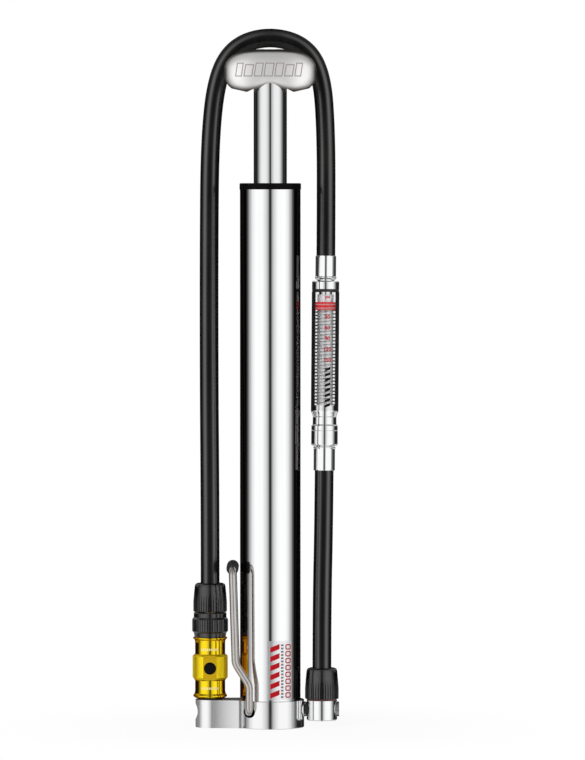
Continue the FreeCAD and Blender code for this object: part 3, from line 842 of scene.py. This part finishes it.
def gauge_prints():
    """Dial figures from 30 at the top to 150, the unit, and plain graduations."""
    surface, length = gauge_surface()
    red = Print(surface, 0.00003)
    red.text("psi", 0.9 * MM, length - 2.3 * MM, 2.1 * MM)
    first = 41.7 * MM
    step = 4.8 * MM
    for i in range(5):
        height = first - i * step
        red.text(str(30 * (i + 1)), 0.9 * MM, height, 2.5 * MM)
    red.finish("gauge_figures", RED_INK, "pump_body", "red_indicator")
    black = Print(surface, 0.00003)
    for i in range(21):
        height = first + 1.4 * MM - i * step / 4
        reach = 1.7 * MM if i % 4 == 0 else 1.0 * MM
        black.stripe((-3.6 * MM, height), (-3.6 * MM + reach, height), 0.16 * MM, 3)
    foot = 1.9 * MM
    for i in range(8):
        height = foot + i * 2.3 * MM
        black.stripe((0.0, height), (2.4 * MM, height + 0.9 * MM), 1.2 * MM, 4)
    black.finish("gauge_graduations", BLACK_INK, "pump_body", "black_plastic")


def chuck_prints():
    """Faint pale dashes round the two waists of the chuck."""
    low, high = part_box("chuck_body")
    centre = (low + high) / 2
    surface = Round((centre.x, 0, 0), (0, 0, 1), 6.70 * MM)
    marks = Print(surface, 0.00002)
    for height in (17.6 * MM, 34.9 * MM):
        for i in range(9):
            left = (-4.2 + i * 0.95) * MM
            marks.stripe((left, height), (left + 0.6 * MM, height), 1.0 * MM, 3)
    marks.finish("chuck_marks", PALE_INK, "chuck", "gold_anodised")


def handle_prints():
    """Slanted outlines engraved across the front of the grip."""
    marks = Print(Facing("handle"), 0.00003)
    bottom = 289.9 * MM
    top = 296.0 * MM
    widths = (3.7, 4.6, 4.3, 4.8, 4.3, 4.6, 3.7)
    left = -sum(widths) / 2 - 0.6
    for i, width in enumerate(widths):
        lean = 0.9
        a = left * MM
        b = (left + width - 0.7) * MM
        drop = 0.7 * MM if i in (1, 5) else 0.0
        corners = [(a, bottom), (b, bottom), (b + lean * MM, top - drop), (a + lean * MM, top - drop)]
        marks.outline(corners, 0.40 * MM)
        left += width
    marks.finish("handle_engraving", ENGRAVED, "rod_and_handle", "satin_aluminium")


label_prints()
gauge_prints()
chuck_prints()
handle_prints()


# ---- floor, lights and surroundings ---------------------------------------------------

FLOOR_HALF = 6.0
FLOOR_SEAT = -0.0002
FADE_FROM = 0.03
FADE_TO = 0.15
GLOW_NEAR = 0.92


def eased(nodes, links, value, low, high, start=0.0, end=1.0):
    """Takes low..high of a value to start..end on a smooth curve."""
    mapped = nodes.new("ShaderNodeMapRange")
    mapped.interpolation_type = "SMOOTHSTEP"
    for socket, number in zip(("From Min", "From Max", "To Min", "To Max"), (low, high, start, end)):
        mapped.inputs[socket].default_value = number
    links.new(value, mapped.inputs["Value"])
    return mapped.outputs["Result"]


def make_floor():
    """Pale floor that brightens into the background away from the pump."""
    mesh = bpy.data.meshes.new("floor")
    h = FLOOR_HALF
    corners = [(x, y, FLOOR_SEAT) for x, y in ((-h, -h), (h, -h), (h, h), (-h, h))]
    mesh.from_pydata(corners, [], [(0, 1, 2, 3)])
    floor = new_piece(mesh, "floor")
    floor.visible_glossy = False
    floor.visible_transmission = False
    material = bpy.data.materials.new("floor")
    material.use_nodes = True
    nodes = material.node_tree.nodes
    links = material.node_tree.links
    nodes.clear()
    place = nodes.new("ShaderNodeTexCoord")
    distance = nodes.new("ShaderNodeVectorMath")
    distance.operation = "LENGTH"
    links.new(place.outputs["Object"], distance.inputs[0])
    fade = eased(nodes, links, distance.outputs["Value"], FADE_FROM, FADE_TO, GLOW_NEAR, 1.0)
    matt = nodes.new("ShaderNodeBsdfDiffuse")
    matt.inputs["Color"].default_value = (0.9, 0.9, 0.9, 1)
    glow = nodes.new("ShaderNodeEmission")
    glow.inputs["Strength"].default_value = 1.0
    mix = nodes.new("ShaderNodeMixShader")
    links.new(fade, mix.inputs[0])
    links.new(matt.outputs[0], mix.inputs[1])
    links.new(glow.outputs[0], mix.inputs[2])
    output = nodes.new("ShaderNodeOutputMaterial")
    links.new(mix.outputs[0], output.inputs["Surface"])
    paint(floor, material)


# Brightness of the studio by degrees round from the camera's side.
STUDIO = [
    (0, 0.012), (3, 0.05), (7, 0.36), (12, 0.60), (20, 0.80), (30, 0.98), (58, 1.02),
    (70, 0.86), (84, 0.45), (95, 0.15), (106, 0.015), (124, 0.012), (133, 0.05), (142, 0.01),
    (160, 0.02), (180, 0.03),
]
STRIP_END = 30
STUDIO_GAIN = 1.36
# Soft panels behind the pump, above and below eye level, that light its back.
BACK_PANELS = [
    (0, 0.0), (92, 0.0), (112, 0.55), (126, 0.72), (146, 0.66), (160, 0.40), (170, 0.05), (180, 0.02),
]
BACK_GAIN = 0.9
# Degrees above or below eye level over which the panels come in, and over which the ceiling dims.
BACK_STARTS = (6.5, 11.0)
CEILING_DIMS = (8.0, 55.0)


def ramp(nodes, links, value, stops):
    """Brightness by degrees, from 0 to 180."""
    share = nodes.new("ShaderNodeMath")
    share.operation = "DIVIDE"
    share.inputs[1].default_value = 180.0
    links.new(value, share.inputs[0])
    ramped = nodes.new("ShaderNodeValToRGB")
    ramped.color_ramp.interpolation = "EASE"
    elements = ramped.color_ramp.elements
    elements.remove(elements[1])
    for i, (degrees, bright) in enumerate(stops):
        element = elements[0] if i == 0 else elements.new(degrees / 180.0)
        element.position = degrees / 180.0
        element.color = (bright, bright, bright, 1)
    links.new(share.outputs[0], ramped.inputs[0])
    return ramped.outputs[0]


def make_surroundings():
    """White backdrop for the camera; for the object, a soft studio with a thin dark gap in front."""
    world = bpy.data.worlds.new("studio")
    scene.world = world
    world.use_nodes = True
    nodes = world.node_tree.nodes
    links = world.node_tree.links
    nodes.clear()

    def step(operation, first, second=None):
        node = nodes.new("ShaderNodeMath")
        node.operation = operation
        for socket, value in zip(node.inputs, (first, second)):
            if isinstance(value, (int, float)):
                socket.default_value = value
            elif value is not None:
                links.new(value, socket)
        return node.outputs[0]

    split = nodes.new("ShaderNodeSeparateXYZ")
    links.new(nodes.new("ShaderNodeTexCoord").outputs["Generated"], split.inputs[0])
    x, y, z = split.outputs
    toward_camera = step("MULTIPLY", y, -1.0)
    cone = step("DEGREES", step("ARCCOSINE", toward_camera))
    around = step("DEGREES", step("ABSOLUTE", step("ARCTAN2", x, toward_camera)))
    height = step("DEGREES", step("ARCSINE", z))
    strip = ramp(nodes, links, around, [s for s in STUDIO if s[0] <= STRIP_END] + [(STRIP_END + 6, 1.0)])
    dome = ramp(nodes, links, cone, [(0, 1.0)] + [s for s in STUDIO if s[0] > STRIP_END])
    ceiling = eased(nodes, links, height, *CEILING_DIMS, 1.0, 0.5)
    bright = step("MULTIPLY", step("MULTIPLY", strip, dome), ceiling)
    off_level = eased(nodes, links, step("ABSOLUTE", height), *BACK_STARTS, 0.0, BACK_GAIN)
    panels = step("MULTIPLY", ramp(nodes, links, around, BACK_PANELS), off_level)
    bright = step("MAXIMUM", bright, panels)
    studio = nodes.new("ShaderNodeBackground")
    links.new(step("MULTIPLY", bright, STUDIO_GAIN), studio.inputs["Strength"])
    backdrop = nodes.new("ShaderNodeBackground")
    backdrop.inputs["Color"].default_value = (1, 1, 1, 1)
    mix = nodes.new("ShaderNodeMixShader")
    links.new(nodes.new("ShaderNodeLightPath").outputs["Is Camera Ray"], mix.inputs[0])
    links.new(studio.outputs[0], mix.inputs[1])
    links.new(backdrop.outputs[0], mix.inputs[2])
    output = nodes.new("ShaderNodeOutputWorld")
    links.new(mix.outputs[0], output.inputs["Surface"])


def make_light(name, place, target, size, power):
    """Soft area light that shapes matt surfaces and isn't mirrored in the polished ones."""
    data = bpy.data.lights.new(name, "AREA")
    data.shape = "DISK"
    data.size = size
    data.energy = power
    light = bpy.data.objects.new(name, data)
    light.location = place
    light.rotation_mode = "QUATERNION"
    light.rotation_quaternion = (Vector(target) - Vector(place)).to_track_quat("-Z", "Y")
    light.visible_glossy = False
    scene.collection.objects.link(light)


make_floor()
make_surroundings()
make_light("key", (-0.5, -1.2, 1.1), (0, 0, 0.15), 0.8, 12.0)
scene.view_settings.view_transform = "Standard"
